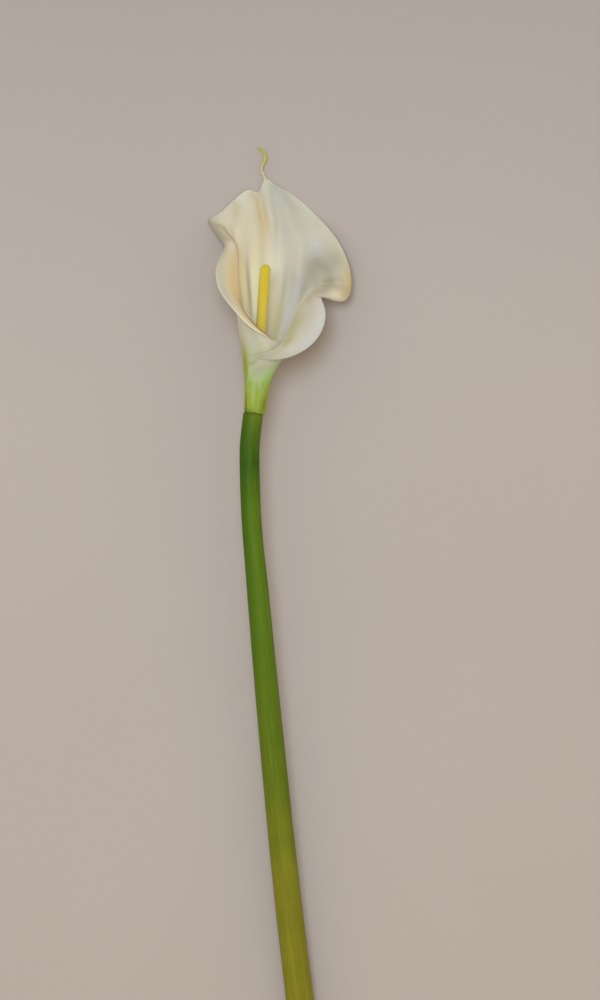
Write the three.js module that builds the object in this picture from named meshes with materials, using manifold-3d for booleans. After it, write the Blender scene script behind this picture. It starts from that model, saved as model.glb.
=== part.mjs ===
// A calla lily: one cut flower, lying on its back on a flat surface with its opening up.
// Millimetres, +Z up. +Y runs along the flower from the cut end of the stem to the tip of the
// spathe. The origin is on the surface, under the middle of the flower.
//
// Three things grow here, and each is one closed solid:
//   stem    the fleshy green stalk, its top narrowed to the plug that the flower sits on
//   spathe  the white funnel-shaped leaf, wrapped round on itself, with the curly tail on its tip
//   spadix  the yellow spike of tiny florets inside the funnel

import * as THREE from 'three';
import Module from 'manifold-3d';

const wasm = await Module();
wasm.setup();

// ---- driving dimensions -------------------------------------------------------------------

// where the flower meets the stem: all other places are measured from here
const JOINT = new THREE.Vector3(-15.5, 140.05, 30.4);
const STEM_LENGTH = 440;
const SEAT_GAP = 0.3; // clearance where one piece rests on another

// the spathe's wall, its thin margin, and the least that is left where it is pressed flat
const SHEET = { thickness: 1.2, rim: 0.9, pressed: 0.8 };
const LAP = 0.95; // how far each of the two overlapping flaps stands in or out
const SHEET_STEPS = { across: 3, up: 4 }; // facets between neighbouring rows of the net

// the funnel that the spathe grows as: [height above the joint, value]
const FUNNEL_AXIS = [
  [0, 0.1], [4, 0.6], [13, 1.4], [19, 1.6], [25, 4.1], [31, 5.4], [40, 6.3], [50, 7], [65, 8],
  [150, 8],
];
const FUNNEL_RADIUS = [
  [0, 5.3], [4, 5.9], [13, 6.4], [19, 6.5], [25, 10], [31, 12], [38, 13.3], [49, 15.2], [62, 19],
  [75, 23], [90, 27], [150, 30],
];
const TUBE_HEIGHTS = [0, 10, 20]; // rows of the net on the closed tube
const NECK = 20; // above this height the rows follow the crest
const WALL_ROWS = [0.35, 0.68]; // how far up from the neck to the crest the two wall rows lie

// The open part of the spathe, from its inner edge on the left, round the back, to its outer
// edge on the right. Each station has its direction round the funnel (degrees, 0 at the back,
// + to the right), the crest where the wall turns outwards, the free margin, and how far the
// lip between these two is pushed out of the straight line.
const STATIONS = [
  [-245, [18.3, 37, 5.6], [19.5, 40.5, 5.5], [0, 0, 0]], // inner end, under the right flap
  [-228, [15.5, 39.5, 9.6], [16.5, 42, 10], [0, 0, 0]],
  [-200, [8.5, 45, 13.4], [6, 45, 16.5], [0, 1, 1.5]], // rolled rim of the left flap
  [-172, [-1.2, 53.5, 12], [-5, 52, 16.5], [0, 2, 2]],
  [-145, [-9, 65.5, 6], [-14.3, 61.5, 14.5], [0, 2, 3]],
  [-120, [-8.2, 79, -1], [-22, 71.5, 12.5], [0, 1, 4]], // left lobe
  [-98, [-8, 91, -6], [-24.6, 88, 8], [0, 0, 4]],
  [-82, [-7.6, 100, -8], [-15.5, 99.5, -15], [-3.5, -0.5, 8]],
  [-72, [-8.6, 106.3, -11], [-19.5, 103, -25], [-4, -0.5, 9]], // margin turned under
  [-63, [-14.8, 109.5, -15], [-30, 116.5, -31.8], [-1, 0, 10]], // left corner
  [-54, [-17, 113, -21], [-25.5, 116.5, -31.8], [0, 0, 2]],
  [-42, [-12, 114.5, -26], [-18, 122.3, -29], [0, 0, 0.8]],
  [-28, [-4.5, 116.5, -27.5], [-8.5, 132.5, -29], [0, 0, 0.8]],
  [-14, [1, 118, -28.2], [-1, 136, -29], [0, 0, 0.4]],
  [-5, [4.5, 119, -28.8], [2.8, 129.5, -29.2], [0, 0, 0]], // notch beside the tip
  [3, [7.8, 120, -28.6], [6.4, 144.8, -29], [0, 0, 0.3]], // tip
  [13, [13, 119, -28.8], [11.5, 136.8, -29.8], [0, 0, 0]],
  [25, [20, 114, -28], [22, 133.9, -31.2], [0, 0, 0.6]],
  [39, [27.5, 105, -24.5], [38, 118.7, -31], [0, 0, 1.2]], // broad right blade
  [54, [35, 96, -18.5], [51, 105, -23], [0, 0, 3]],
  [68, [39.5, 86, -18], [59.6, 84.5, -19], [0, 0, 1.5]],
  [80, [39, 80, -17.5], [58.4, 67.5, -19], [4, 0.5, 9]], // right curl
  [92, [35.5, 75.5, -9], [50.5, 65.3, -14], [2, 0, 8.5]],
  [104, [29.5, 68, 3], [36.6, 72, -8], [0, 0, -1]],
  [118, [25.5, 60, 9.5], [45.5, 61.5, 1], [0, 0, 1]], // right lobe
  [138, [20.5, 48, 13.5], [39.5, 41, 7], [0, 0, 2]],
  [165, [15.5, 38.5, 16], [19, 30.3, 15.5], [0, 0, 3]], // lip that sweeps across the front
  [195, [6, 36, 15], [5, 31.5, 15.6], [0, 0, 1]],
  [222, [-0.5, 33.3, 12.6], [-0.4, 32.3, 13.2], [0, 0, 0]], // outer end, left of the tube
];

// soft folds pressed into the open blade: from, to, half width, rise (- is a groove)
const FOLDS = [
  [[1.5, 134], [5.5, 117], 2.4, -1.8], // groove that runs down from the notch
  [[5.5, 117], [9.5, 95], 3, -1],
  [[8, 134], [11, 112], 2.4, 0.9], // ridge beside it
  [[16, 132], [26, 104], 4, 1.2], // long ridge down the right blade
  [[27, 100], [26, 68], 3.6, 2.4],
  [[36, 84], [45, 80], 8, -4], // hollow of the right blade
  [[39, 76], [52, 77.5], 2.8, -4.5], // valley above the right curl
  [[-4, 88], [-3, 58], 2, -2.2], // groove left of the spadix
  [[-9, 122], [-13, 108], 2.6, -1.5],
  [[13, 80], [12, 50], 3, -1.2],
];
const FOLD_STATIONS = [6, 8.5, 22, 23.5]; // the folds fade in and out between these stations
const FOLD_ROWS = [1.8, 3.2]; // and start between these rows

// curly tail on the tip: [x, y, z, radius]
const TAIL = [
  [6.3, 136, -29.4, 0.9], [6.3, 141.4, -29.2, 0.85], [4.5, 145.8, -28.2, 0.7],
  [5.2, 149.4, -27.3, 0.75], [6.8, 153, -26.8, 0.8], [5.2, 157.2, -26.4, 0.7],
  [1.7, 160, -26.2, 0.45],
];
const TAIL_SIDES = 8;
const TAIL_STEPS = 28;

// stem: how far its middle stands to the side and how thick it is, at distances below the joint
const STEM_SIDE = [
  [0, -0.4], [25, -2.7], [55, -2], [110, 2.5], [200, 10.8], [290, 20], [360, 28.4], [440, 38.5],
];
const STEM_RADIUS = [[0, 6], [70, 6], [113, 6.6], [173, 7.2], [230, 7.65], [353, 8.4], [440, 8.7]];
const STEM_SIDES = 20;
const STEM_STEPS = 44;
const CUT_EDGE = 0.6; // small round on the cut end
const PLUG = { radius: 3.4, top: 3.1, height: 18 }; // the narrowed top, inside the spathe's tube

// spadix: height above the joint, middle of its foot and of its top, radius, florets
const SPADIX = { foot: 18 + SEAT_GAP, top: 88.5, footX: 2.6, topX: 6.95, radius: 3.3 };
const FLORETS = { around: 12, rings: 56, rise: 0.28 };

// ---- shared helpers -------------------------------------------------------------------------

const radians = THREE.MathUtils.degToRad;

// smooth curve through the [position, value] pairs that never swings past them
function along(table, at) {
  const last = table.length - 1;
  const slope = (i) => (table[i + 1][1] - table[i][1]) / (table[i + 1][0] - table[i][0]);
  const tangent = (i) => {
    if (i === 0) return slope(0);
    if (i === last) return slope(last - 1);
    const before = slope(i - 1);
    const after = slope(i);
    return before * after <= 0 ? 0 : (2 * before * after) / (before + after);
  };
  let i = 0;
  while (i < last - 1 && at > table[i + 1][0]) i += 1;
  const span = table[i + 1][0] - table[i][0];
  const t = THREE.MathUtils.clamp((at - table[i][0]) / span, 0, 1);
  const t2 = t * t;
  const t3 = t2 * t;
  return (2 * t3 - 3 * t2 + 1) * table[i][1] + (t3 - 2 * t2 + t) * span * tangent(i)
    + (3 * t2 - 2 * t3) * table[i + 1][1] + (t3 - t2) * span * tangent(i + 1);
}

const fade = (from, to, at) => THREE.MathUtils.smoothstep(at, from, to);

function geometryOf(points, triangles) {
  const geometry = new THREE.BufferGeometry();
  geometry.setAttribute('position', new THREE.Float32BufferAttribute(points.flatMap((p) => [...p]), 3));
  geometry.setIndex(triangles);
  geometry.computeVertexNormals();
  return geometry;
}

function toSolid(points, triangles) {
  return new wasm.Manifold(new wasm.Mesh({
    numProp: 3,
    vertProperties: new Float32Array(points.flatMap((p) => [...p])),
    triVerts: new Uint32Array(triangles),
  }));
}

function fromSolid(solid) {
  const mesh = solid.getMesh();
  const geometry = new THREE.BufferGeometry();
  geometry.setAttribute('position', new THREE.BufferAttribute(mesh.vertProperties, 3));
  geometry.setIndex(new THREE.BufferAttribute(mesh.triVerts, 1));
  geometry.computeVertexNormals();
  return geometry;
}

// a closed skin over rings of equally many points, with a flat cap at each end; the rings are
// listed in the direction of travel and turn anticlockwise when seen from ahead
function loft(rings) {
  const sides = rings[0].length;
  const points = rings.flat();
  const triangles = [];
  rings.slice(1).forEach((_, row) => {
    for (let k = 0; k < sides; k += 1) {
      const next = (k + 1) % sides;
      const a = row * sides + k;
      const b = row * sides + next;
      const c = a + sides;
      const d = b + sides;
      if ((row + k) % 2) triangles.push(a, b, c, b, d, c);
      else triangles.push(a, b, d, a, d, c);
    }
  });
  const cap = (ring, first, flip) => {
    const middle = new THREE.Vector3();
    ring.forEach((p) => middle.addScaledVector(p, 1 / sides));
    points.push(middle);
    for (let k = 0; k < sides; k += 1) {
      const pair = [first + k, first + ((k + 1) % sides)];
      if (flip) pair.reverse();
      triangles.push(pair[0], pair[1], points.length - 1);
    }
  };
  cap(rings[0], 0, true);
  cap(rings.at(-1), (rings.length - 1) * sides, false);
  return { points, triangles };
}

// a ring of points round a centre, square to the direction of travel; reach gives its radius
function ringAt(centre, heading, sides, reach) {
  const left = new THREE.Vector3(0, 0, 1).cross(heading).normalize();
  const up = heading.clone().cross(left);
  return Array.from({ length: sides }, (_, k) => {
    const turn = (2 * Math.PI * k) / sides;
    const radius = reach(k);
    return centre.clone()
      .addScaledVector(left, radius * Math.cos(turn))
      .addScaledVector(up, radius * Math.sin(turn));
  });
}

// ---- the spathe -----------------------------------------------------------------------------

function funnelPoint(degrees, height, spread) {
  // the left flap runs inside and the right flap outside where they overlap; a spline lies
  // inside its net, so the net is drawn a little wider than the funnel
  const lap = LAP * (fade(40, 118, degrees) - fade(118, 190, -degrees));
  const radius = (along(FUNNEL_RADIUS, height) + lap) / ((2 + Math.cos(radians(spread))) / 3);
  const turn = radians(degrees);
  return new THREE.Vector3(
    along(FUNNEL_AXIS, height) + radius * Math.sin(turn), height, -radius * Math.cos(turn),
  );
}

// one column of the net for each station: tube, wall, crest, lip, margin
function netColumn([degrees, crestAt, marginAt, push], station) {
  const before = STATIONS[Math.max(station - 1, 0)][0];
  const after = STATIONS[Math.min(station + 1, STATIONS.length - 1)][0];
  const ends = station === 0 || station === STATIONS.length - 1 ? 1 : 2;
  const spread = (after - before) / ends;
  const crest = new THREE.Vector3(...crestAt);
  const margin = new THREE.Vector3(...marginAt);
  const tube = TUBE_HEIGHTS.map((height) => funnelPoint(degrees, height, spread));
  const [low, high] = WALL_ROWS.map(
    (part) => funnelPoint(degrees, NECK + part * (crest.y - NECK), spread),
  );
  const chord = low.clone().add(crest).multiplyScalar(0.5);
  high.lerp(chord, 0.3);
  const lip = crest.clone().add(margin).multiplyScalar(0.5).add(new THREE.Vector3(...push));
  return [...tube, low, high, crest, lip, margin];
}

// weights of the four net points round a place on a uniform cubic spline
function splineWeights(t) {
  return [
    (1 - t) ** 3 / 6,
    (3 * t ** 3 - 6 * t ** 2 + 4) / 6,
    (-3 * t ** 3 + 3 * t ** 2 + 3 * t + 1) / 6,
    t ** 3 / 6,
  ];
}

// a place on the spline of a row of points; beyond each end the row carries on straight
function splineAt(row, place) {
  const last = row.length - 1;
  const start = Math.min(Math.floor(place), last - 1);
  const pick = (i) => {
    if (i < 0) return row[0].clone().multiplyScalar(2).sub(row[1]);
    if (i > last) return row[last].clone().multiplyScalar(2).sub(row[last - 1]);
    return row[i];
  };
  const point = new THREE.Vector3();
  splineWeights(place - start).forEach((w, k) => point.addScaledVector(pick(start - 1 + k), w));
  return point;
}

function foldRise(x, y) {
  let rise = 0;
  FOLDS.forEach(([from, to, width, height]) => {
    const run = new THREE.Vector2(to[0] - from[0], to[1] - from[1]);
    const offset = new THREE.Vector2(x - from[0], y - from[1]);
    const t = THREE.MathUtils.clamp(offset.dot(run) / run.lengthSq(), 0, 1);
    const distance = offset.addScaledVector(run, -t).length();
    rise += height * Math.exp(-((distance / width) ** 2));
  });
  return rise;
}

function makeSpathe() {
  const net = STATIONS.map(netColumn);
  const rowsUp = net[0].length - 1;
  const across = (STATIONS.length - 1) * SHEET_STEPS.across + 1;
  const up = rowsUp * SHEET_STEPS.up + 1;
  const middle = [];
  for (let i = 0; i < up; i += 1) {
    const v = i / SHEET_STEPS.up;
    const row = net.map((column) => splineAt(column, v));
    for (let j = 0; j < across; j += 1) {
      const u = j / SHEET_STEPS.across;
      const point = splineAt(row, u);
      const [inStart, inEnd, outStart, outEnd] = FOLD_STATIONS;
      const share = fade(inStart, inEnd, u) * (1 - fade(outStart, outEnd, u)) * fade(...FOLD_ROWS, v);
      point.z += share * foldRise(point.x, point.y);
      middle.push(point);
    }
  }
  const at = (i, j) => middle[i * across + j];
  const skins = [[], []]; // the face inside the funnel, and its back
  for (let i = 0; i < up; i += 1) {
    const rim = fade(rowsUp - 2, rowsUp, i / SHEET_STEPS.up);
    const half = THREE.MathUtils.lerp(SHEET.thickness, SHEET.rim, rim) / 2;
    for (let j = 0; j < across; j += 1) {
      const rise = at(Math.min(i + 1, up - 1), j).clone().sub(at(Math.max(i - 1, 0), j));
      const run = at(i, Math.min(j + 1, across - 1)).clone().sub(at(i, Math.max(j - 1, 0)));
      const normal = run.cross(rise).normalize();
      skins.forEach((skin, side) => {
        const point = at(i, j).clone().addScaledVector(normal, side ? -half : half);
        // pressed flat where it rests on the surface
        point.z = Math.max(point.z, -JOINT.z + (side ? 0 : SHEET.pressed));
        skin.push(point);
      });
    }
  }
  const points = skins.flat();
  const back = skins[0].length;
  const triangles = [];
  for (let i = 0; i < up - 1; i += 1) {
    for (let j = 0; j < across - 1; j += 1) {
      const a = i * across + j;
      const [b, c, d] = [a + 1, a + across, a + across + 1];
      // both faces are split along the same, shorter diagonal
      const split = middle[a].distanceTo(middle[d]) < middle[b].distanceTo(middle[c])
        ? [a, b, d, a, d, c] : [a, b, c, b, d, c];
      triangles.push(...split, ...split.map((k) => k + back).reverse());
    }
  }
  const edge = [];
  for (let j = 0; j < across - 1; j += 1) edge.push(j);
  for (let i = 0; i < up - 1; i += 1) edge.push(i * across + across - 1);
  for (let j = across - 1; j > 0; j -= 1) edge.push((up - 1) * across + j);
  for (let i = up - 1; i > 0; i -= 1) edge.push(i * across);
  edge.forEach((a, k) => {
    const b = edge[(k + 1) % edge.length];
    triangles.push(a + back, b + back, b, a + back, b, a);
  });
  const blade = toSolid(points, triangles);
  const tail = makeTail();
  return fromSolid(blade.add(toSolid(tail.points, tail.triangles)));
}

function makeTail() {
  const path = new THREE.CatmullRomCurve3(TAIL.map(([x, y, z]) => new THREE.Vector3(x, y, z)));
  const radii = TAIL.map((entry, i) => [i / (TAIL.length - 1), entry[3]]);
  const rings = Array.from({ length: TAIL_STEPS + 1 }, (_, i) => {
    const t = i / TAIL_STEPS;
    return ringAt(path.getPoint(t), path.getTangent(t), TAIL_SIDES, () => along(radii, t));
  });
  return loft(rings);
}

// ---- the stem -------------------------------------------------------------------------------

// the stem leaves the flower level and sinks in one soft bend until its end lies on the surface
function stemMiddle(below) {
  const drop = JOINT.z - STEM_RADIUS.at(-1)[1];
  return new THREE.Vector3(
    along(STEM_SIDE, below), -below, -drop * fade(0, STEM_LENGTH, below),
  );
}

function makeStem() {
  const rings = [];
  const addRing = (middle, heading, radius) => {
    rings.push(ringAt(middle, heading, STEM_SIDES, () => radius));
  };
  const toTip = new THREE.Vector3(0, 1, 0);
  const end = stemMiddle(STEM_LENGTH);
  addRing(end, toTip, STEM_RADIUS.at(-1)[1] - CUT_EDGE);
  for (let i = STEM_STEPS; i >= 0; i -= 1) {
    const below = SEAT_GAP + ((STEM_LENGTH - CUT_EDGE - SEAT_GAP) * i) / STEM_STEPS;
    const ahead = stemMiddle(Math.max(below - 1, 0));
    const heading = ahead.sub(stemMiddle(Math.min(below + 1, STEM_LENGTH))).normalize();
    addRing(stemMiddle(below), i === 0 ? toTip : heading, along(STEM_RADIUS, below));
  }
  const plugMiddle = (height) => new THREE.Vector3(along(FUNNEL_AXIS, height), height, 0);
  addRing(plugMiddle(0), toTip, PLUG.radius);
  addRing(plugMiddle(PLUG.height / 2), toTip, PLUG.radius);
  addRing(plugMiddle(PLUG.height), toTip, PLUG.top);
  const { points, triangles } = loft(rings);
  return geometryOf(points, triangles);
}

// ---- the spadix -----------------------------------------------------------------------------

// florets stand in slanting rows: every other corner of the net is a floret, with its
// neighbours sunk between them
function makeSpadix() {
  const { foot, top, footX, topX, radius } = SPADIX;
  const rings = [];
  for (let i = 0; i <= FLORETS.rings; i += 1) {
    const y = THREE.MathUtils.lerp(foot, top - 0.15, i / FLORETS.rings);
    const x = THREE.MathUtils.lerp(footX, topX, ((y - foot) / (top - foot)) ** 1.15);
    const toTop = Math.min((top - y) / radius, 1);
    const round = radius * Math.sqrt(1 - (1 - toTop) ** 2);
    const rise = i === 0 ? 0 : FLORETS.rise * Math.min(toTop * 2, 1);
    const centre = new THREE.Vector3(x, y, 0);
    const reach = (k) => round - ((i + k) % 2 ? rise : 0);
    rings.push(ringAt(centre, new THREE.Vector3(0, 1, 0), FLORETS.around * 2, reach));
  }
  const { points, triangles } = loft(rings);
  return geometryOf(points, triangles);
}

// ---- the flower -----------------------------------------------------------------------------

function piece(name, geometry, color, roughness) {
  const material = new THREE.MeshStandardMaterial({ color, roughness, metalness: 0 });
  const mesh = new THREE.Mesh(geometry, material);
  mesh.name = name;
  return mesh;
}

const flower = new THREE.Group();
flower.add(piece('stem', makeStem(), 0x567318, 0.5));
flower.add(piece('spathe', makeSpathe(), 0xece6cf, 0.45));
flower.add(piece('spadix', makeSpadix(), 0xd8bd1c, 0.7));
flower.position.copy(JOINT);

const part = new THREE.Group();
part.add(flower);

export default part;
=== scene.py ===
# %% [markdown]
# # A calla lily, cut and laid on its back
#
# A calla lily looks like one white petal, but it is three things. The stem is a fleshy green
# stalk. The spathe is a single leaf, rolled into a funnel with its right side lapped over its
# left, and drawn out at the tip into a curly tail. The spadix is a yellow spike inside it,
# covered in hundreds of tiny flowers called florets.
#
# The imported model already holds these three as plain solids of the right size. This lesson
# builds a finer piece over each one, gives it a living surface, and then sets up the table,
# the light and the camera. Everything is in metres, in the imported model's own frame: +Z is
# up, and +Y runs along the flower from the cut end of the stem to the tip of the spathe.

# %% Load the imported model
import math

import bmesh
import bpy
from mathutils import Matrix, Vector


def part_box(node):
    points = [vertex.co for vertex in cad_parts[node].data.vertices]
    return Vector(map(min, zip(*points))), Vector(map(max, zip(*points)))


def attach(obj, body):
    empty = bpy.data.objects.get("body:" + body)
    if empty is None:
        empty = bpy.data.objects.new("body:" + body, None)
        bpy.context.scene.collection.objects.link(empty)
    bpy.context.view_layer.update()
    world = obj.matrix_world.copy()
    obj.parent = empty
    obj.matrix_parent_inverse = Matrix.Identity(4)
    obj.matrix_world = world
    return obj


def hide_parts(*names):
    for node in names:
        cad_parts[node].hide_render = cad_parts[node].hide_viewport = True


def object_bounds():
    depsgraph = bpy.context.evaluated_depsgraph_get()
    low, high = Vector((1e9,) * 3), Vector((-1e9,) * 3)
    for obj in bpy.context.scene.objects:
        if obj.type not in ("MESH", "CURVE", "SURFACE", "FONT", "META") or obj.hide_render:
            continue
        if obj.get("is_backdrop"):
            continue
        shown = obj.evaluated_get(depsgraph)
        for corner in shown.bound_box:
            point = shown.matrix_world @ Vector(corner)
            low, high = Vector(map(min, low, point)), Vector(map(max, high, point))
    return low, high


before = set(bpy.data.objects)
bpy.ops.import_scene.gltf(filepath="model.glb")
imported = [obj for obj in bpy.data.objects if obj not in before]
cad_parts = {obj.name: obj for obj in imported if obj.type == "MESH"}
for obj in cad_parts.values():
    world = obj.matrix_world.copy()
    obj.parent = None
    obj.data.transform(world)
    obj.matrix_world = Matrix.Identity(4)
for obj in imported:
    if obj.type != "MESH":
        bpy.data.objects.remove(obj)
CAD_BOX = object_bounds()
print("packed nodes:", sorted(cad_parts))

# %% [markdown]
# ## Where the flower is
#
# All the shapes below are measured in millimetres from the joint, the place where the flower
# sits on its stem. The joint is found from the spadix, because that piece stands straight in
# the funnel: its foot is a known height above the joint, and its middle is at the joint's
# level. A small helper then turns a place beside the joint into a place in the scene.

# %% The joint, found from the spadix
MM = 0.001
SPADIX = {"foot": 18.3, "top": 88.5, "foot_x": 2.6, "top_x": 6.95, "radius": 3.3}

spadix_low, spadix_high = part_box("spadix")
JOINT = Vector((
    spadix_low.x + (SPADIX["radius"] - SPADIX["foot_x"]) * MM,
    spadix_low.y - SPADIX["foot"] * MM,
    (spadix_low.z + spadix_high.z) / 2,
))


def in_scene(place):
    """A place measured in millimetres from the joint, as a place in the scene."""
    return JOINT + Vector(place) * MM


print("joint at", [round(c, 4) for c in JOINT])

# %% [markdown]
# ## Smooth steps and smooth tables
#
# A plant has no straight runs and no corners, so its sizes change smoothly along it. `fade`
# goes from 0 to 1 between two values with no kink at either end, and `within` goes up and
# comes down again. `along` draws a smooth curve through a short table of values. It never
# swings past them, so a stem that is 12 mm thick at two places stays 12 mm thick between them.

# %% Smooth steps


def fade(start, end, at):
    """0 up to start, 1 from end on, and a smooth step between them."""
    t = min(max((at - start) / (end - start), 0), 1)
    return t * t * (3 - 2 * t)


def within(start, full, ebb, gone, at):
    """0 outside start and gone, 1 from full to ebb, and a smooth step at each end."""
    return fade(start, full, at) * (1 - fade(ebb, gone, at))


print("a quarter of the way up a smooth step:", fade(0, 1, 0.25))

# %% Smooth tables


def slope(table, i):
    """How steep the straight line from one entry of a table to the next is."""
    return (table[i + 1][1] - table[i][1]) / (table[i + 1][0] - table[i][0])


def tangent(table, i):
    """How steep the smooth curve is at an entry; it is level at a hill or a dip."""
    if i == 0:
        return slope(table, 0)
    if i == len(table) - 1:
        return slope(table, i - 1)
    before, after = slope(table, i - 1), slope(table, i)
    return 0 if before * after <= 0 else 2 * before * after / (before + after)


def along(table, at):
    """The value at a place on the smooth curve through a table of (place, value) pairs."""
    i = 0
    while i < len(table) - 2 and at > table[i + 1][0]:
        i += 1
    span = table[i + 1][0] - table[i][0]
    t = min(max((at - table[i][0]) / span, 0), 1)
    return (
        (2 * t**3 - 3 * t**2 + 1) * table[i][1]
        + (t**3 - 2 * t**2 + t) * span * tangent(table, i)
        + (3 * t**2 - 2 * t**3) * table[i + 1][1]
        + (t**3 - t**2) * span * tangent(table, i + 1)
    )


print("between 12 and 12, then 17:", along([(0, 12), (10, 12), (20, 17)], 5))

# %% [markdown]
# ## The net of the spathe
#
# How could a leaf like this be modelled? Sculpting gives a good look but no clear
# construction, and cloth simulation doesn't know how a leaf grows. A spline surface is the
# better way: a few dozen net points pull a smooth sheet into shape, as a boat builder's
# battens do.
#
# The net has 29 stations round the flower. They start at the inner edge, hidden under the
# right flap, go round the left side and the back, and end at the outer edge, on the left of
# the tube. Each station has a direction round the funnel, a crest, where the wall turns
# outwards, and a free margin.

# %% The stations of the net
STATIONS = [  # direction, crest, margin, how far the lip is pushed out between them
    (-245, (18.3, 37, 5.6), (19.5, 40.5, 5.5), (0, 0, 0)),  # inner end, under the right flap
    (-228, (15.5, 39.5, 9.6), (16.5, 42, 10), (0, 0, 0)),
    (-200, (8.5, 45, 13.4), (6, 45, 16.5), (0, 1, 1.5)),  # rolled rim of the left flap
    (-172, (-1.2, 53.5, 12), (-5, 52, 16.5), (0, 2, 2)),
    (-145, (-10.3, 66, 6), (-13.2, 62.2, 14.5), (0, 2, 3)),
    (-120, (-8.8, 79, -1), (-22, 72, 12.5), (0, 1, 4)),  # left lobe
    (-98, (-8, 91, -6), (-24.6, 88, 8), (0, 0, 4)),
    (-82, (-7.6, 100, -8), (-15.5, 99.5, -15), (-3.5, -0.5, 8)),
    (-72, (-8.6, 106.3, -11), (-19.5, 103, -25), (-4, -0.5, 9)),  # margin turned under
    (-63, (-14.8, 109.5, -15), (-30, 116.5, -31.8), (-1, 0, 10)),  # left corner
    (-54, (-17, 113, -21), (-25.5, 116.5, -31.8), (0, 0, 2)),
    (-42, (-12, 114.5, -26), (-18, 122.3, -29), (0, 0, 0.8)),
    (-28, (-4.5, 116.5, -27.5), (-8.5, 132.5, -29), (0, 0, 0.8)),
    (-14, (1, 118, -28.2), (-1, 136, -29), (0, 0, 0.4)),
    (-5, (4.5, 119, -28.8), (2.8, 129.5, -29.2), (0, 0, 0)),  # notch beside the tip
    (3, (7.8, 120, -28.6), (6.4, 144.8, -29), (0, 0, 0.3)),  # tip
    (13, (13, 119, -28.8), (11.5, 136.8, -29.8), (0, 0, 0)),
    (25, (20, 114, -28), (22, 133.9, -31.2), (0, 0, 0.6)),
    (39, (27.5, 105, -24.5), (38, 118.7, -31), (0, 0, 1.2)),  # broad right blade
    (54, (35, 96, -18.5), (51, 105, -23), (0, 0, 3)),
    (68, (39.5, 86, -18), (59.6, 84.5, -19), (0, 0, 1.5)),
    (80, (39, 80, -17.5), (58.4, 67.5, -19), (4, 0.5, 9)),  # right curl
    (92, (35.5, 75.5, -9), (50.5, 65.3, -14), (2, 0, 8.5)),
    (104, (29.5, 68, 3), (36.6, 72, -8), (0, 0, -1)),
    (118, (25.5, 60, 9.5), (45.5, 61.5, 1), (0, 0, 1)),  # right lobe
    (138, (20.5, 48, 13.5), (39.5, 41, 7), (0, 0, 2)),
    (165, (15.5, 38.5, 16), (19, 30.3, 15.5), (0, 0, 3)),  # lip that sweeps across the front
    (195, (6, 36, 15), (5, 31.5, 15.6), (0, 0, 1)),
    (222, (-0.5, 33.3, 12.6), (-0.4, 32.3, 13.2), (0, 0, 0)),  # outer end, left of the tube
]
print("stations round the spathe:", len(STATIONS))

# %% [markdown]
# ## From stations to net columns
#
# Each station becomes a column of eight net points: three on the closed tube, two up the
# wall, the crest, the lip and the margin. Only the crest and the margin are given. The
# tube and the wall follow a funnel, given by its middle line and its radius at each height,
# so that they stay round. Near the overlap the left flap runs a little inside that funnel and
# the right flap a little outside, as in a rolled sheet of paper.

# %% The funnel
FUNNEL_AXIS = [
    (0, 0.1), (4, 0.6), (13, 1.4), (19, 1.6), (25, 4.1), (31, 5.4), (40, 6.3), (50, 7),
    (65, 8), (150, 8),
]
FUNNEL_RADIUS = [
    (0, 5.3), (4, 5.9), (13, 6.4), (19, 6.5), (25, 10), (31, 12), (38, 13.3), (49, 15.2),
    (62, 19), (75, 23), (90, 27), (150, 30),
]
LAP = 0.95  # how far each of the two overlapping flaps stands in or out
OUTER_FLAP = (40, 118)  # the directions over which the right flap swings out
INNER_FLAP = (118, 190)  # and, the other way round, the left flap in


def funnel_point(degrees, height, spread):
    """A point on the funnel; spread is the angle between it and the stations beside it."""
    lap = LAP * (fade(*OUTER_FLAP, degrees) - fade(*INNER_FLAP, -degrees))
    # a spline lies inside its net, so the net is drawn a little wider than the funnel
    radius = (along(FUNNEL_RADIUS, height) + lap) * 3 / (2 + math.cos(math.radians(spread)))
    turn = math.radians(degrees)
    middle = along(FUNNEL_AXIS, height)
    return Vector((middle + radius * math.sin(turn), height, -radius * math.cos(turn)))


print("funnel radius half way up:", round(along(FUNNEL_RADIUS, 60), 1), "mm")

# %% The net
TUBE_HEIGHTS = (0, 10, 20)
NECK = TUBE_HEIGHTS[-1]  # above this height the rows follow the crest
WALL_ROWS = (0.35, 0.68)  # how far up from the neck to the crest the two wall rows lie
WALL_EASE = 0.3  # the share by which the upper wall row is drawn towards a straight wall


def net_column(station):
    """The eight net points of one station: tube, wall, crest, lip and margin."""
    degrees, crest, margin, push = STATIONS[station]
    before = max(station - 1, 0)
    after = min(station + 1, len(STATIONS) - 1)
    spread = (STATIONS[after][0] - STATIONS[before][0]) / (after - before)
    crest, margin = Vector(crest), Vector(margin)
    tube = [funnel_point(degrees, height, spread) for height in TUBE_HEIGHTS]
    low, high = [
        funnel_point(degrees, NECK + part * (crest.y - NECK), spread) for part in WALL_ROWS
    ]
    high = high.lerp((low + crest) / 2, WALL_EASE)
    lip = (crest + margin) / 2 + Vector(push)
    return [*tube, low, high, crest, lip, margin]


NET = [net_column(station) for station in range(len(STATIONS))]
ROWS = len(NET[0]) - 1
COLUMNS = len(NET) - 1
print("net:", len(NET), "stations of", len(NET[0]), "points")

# %% [markdown]
# ## Folds pressed into the blade
#
# The open blade isn't a clean funnel. It has a groove down from the notch beside the tip, a
# long soft ridge down its right half, a hollow beside that, and a valley above the curl on
# the right. Each is one line in a table: where it starts and ends, its half width, and how
# far it rises. They are added to the surface as soft swellings, so they can be moved or
# removed one at a time.

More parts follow.
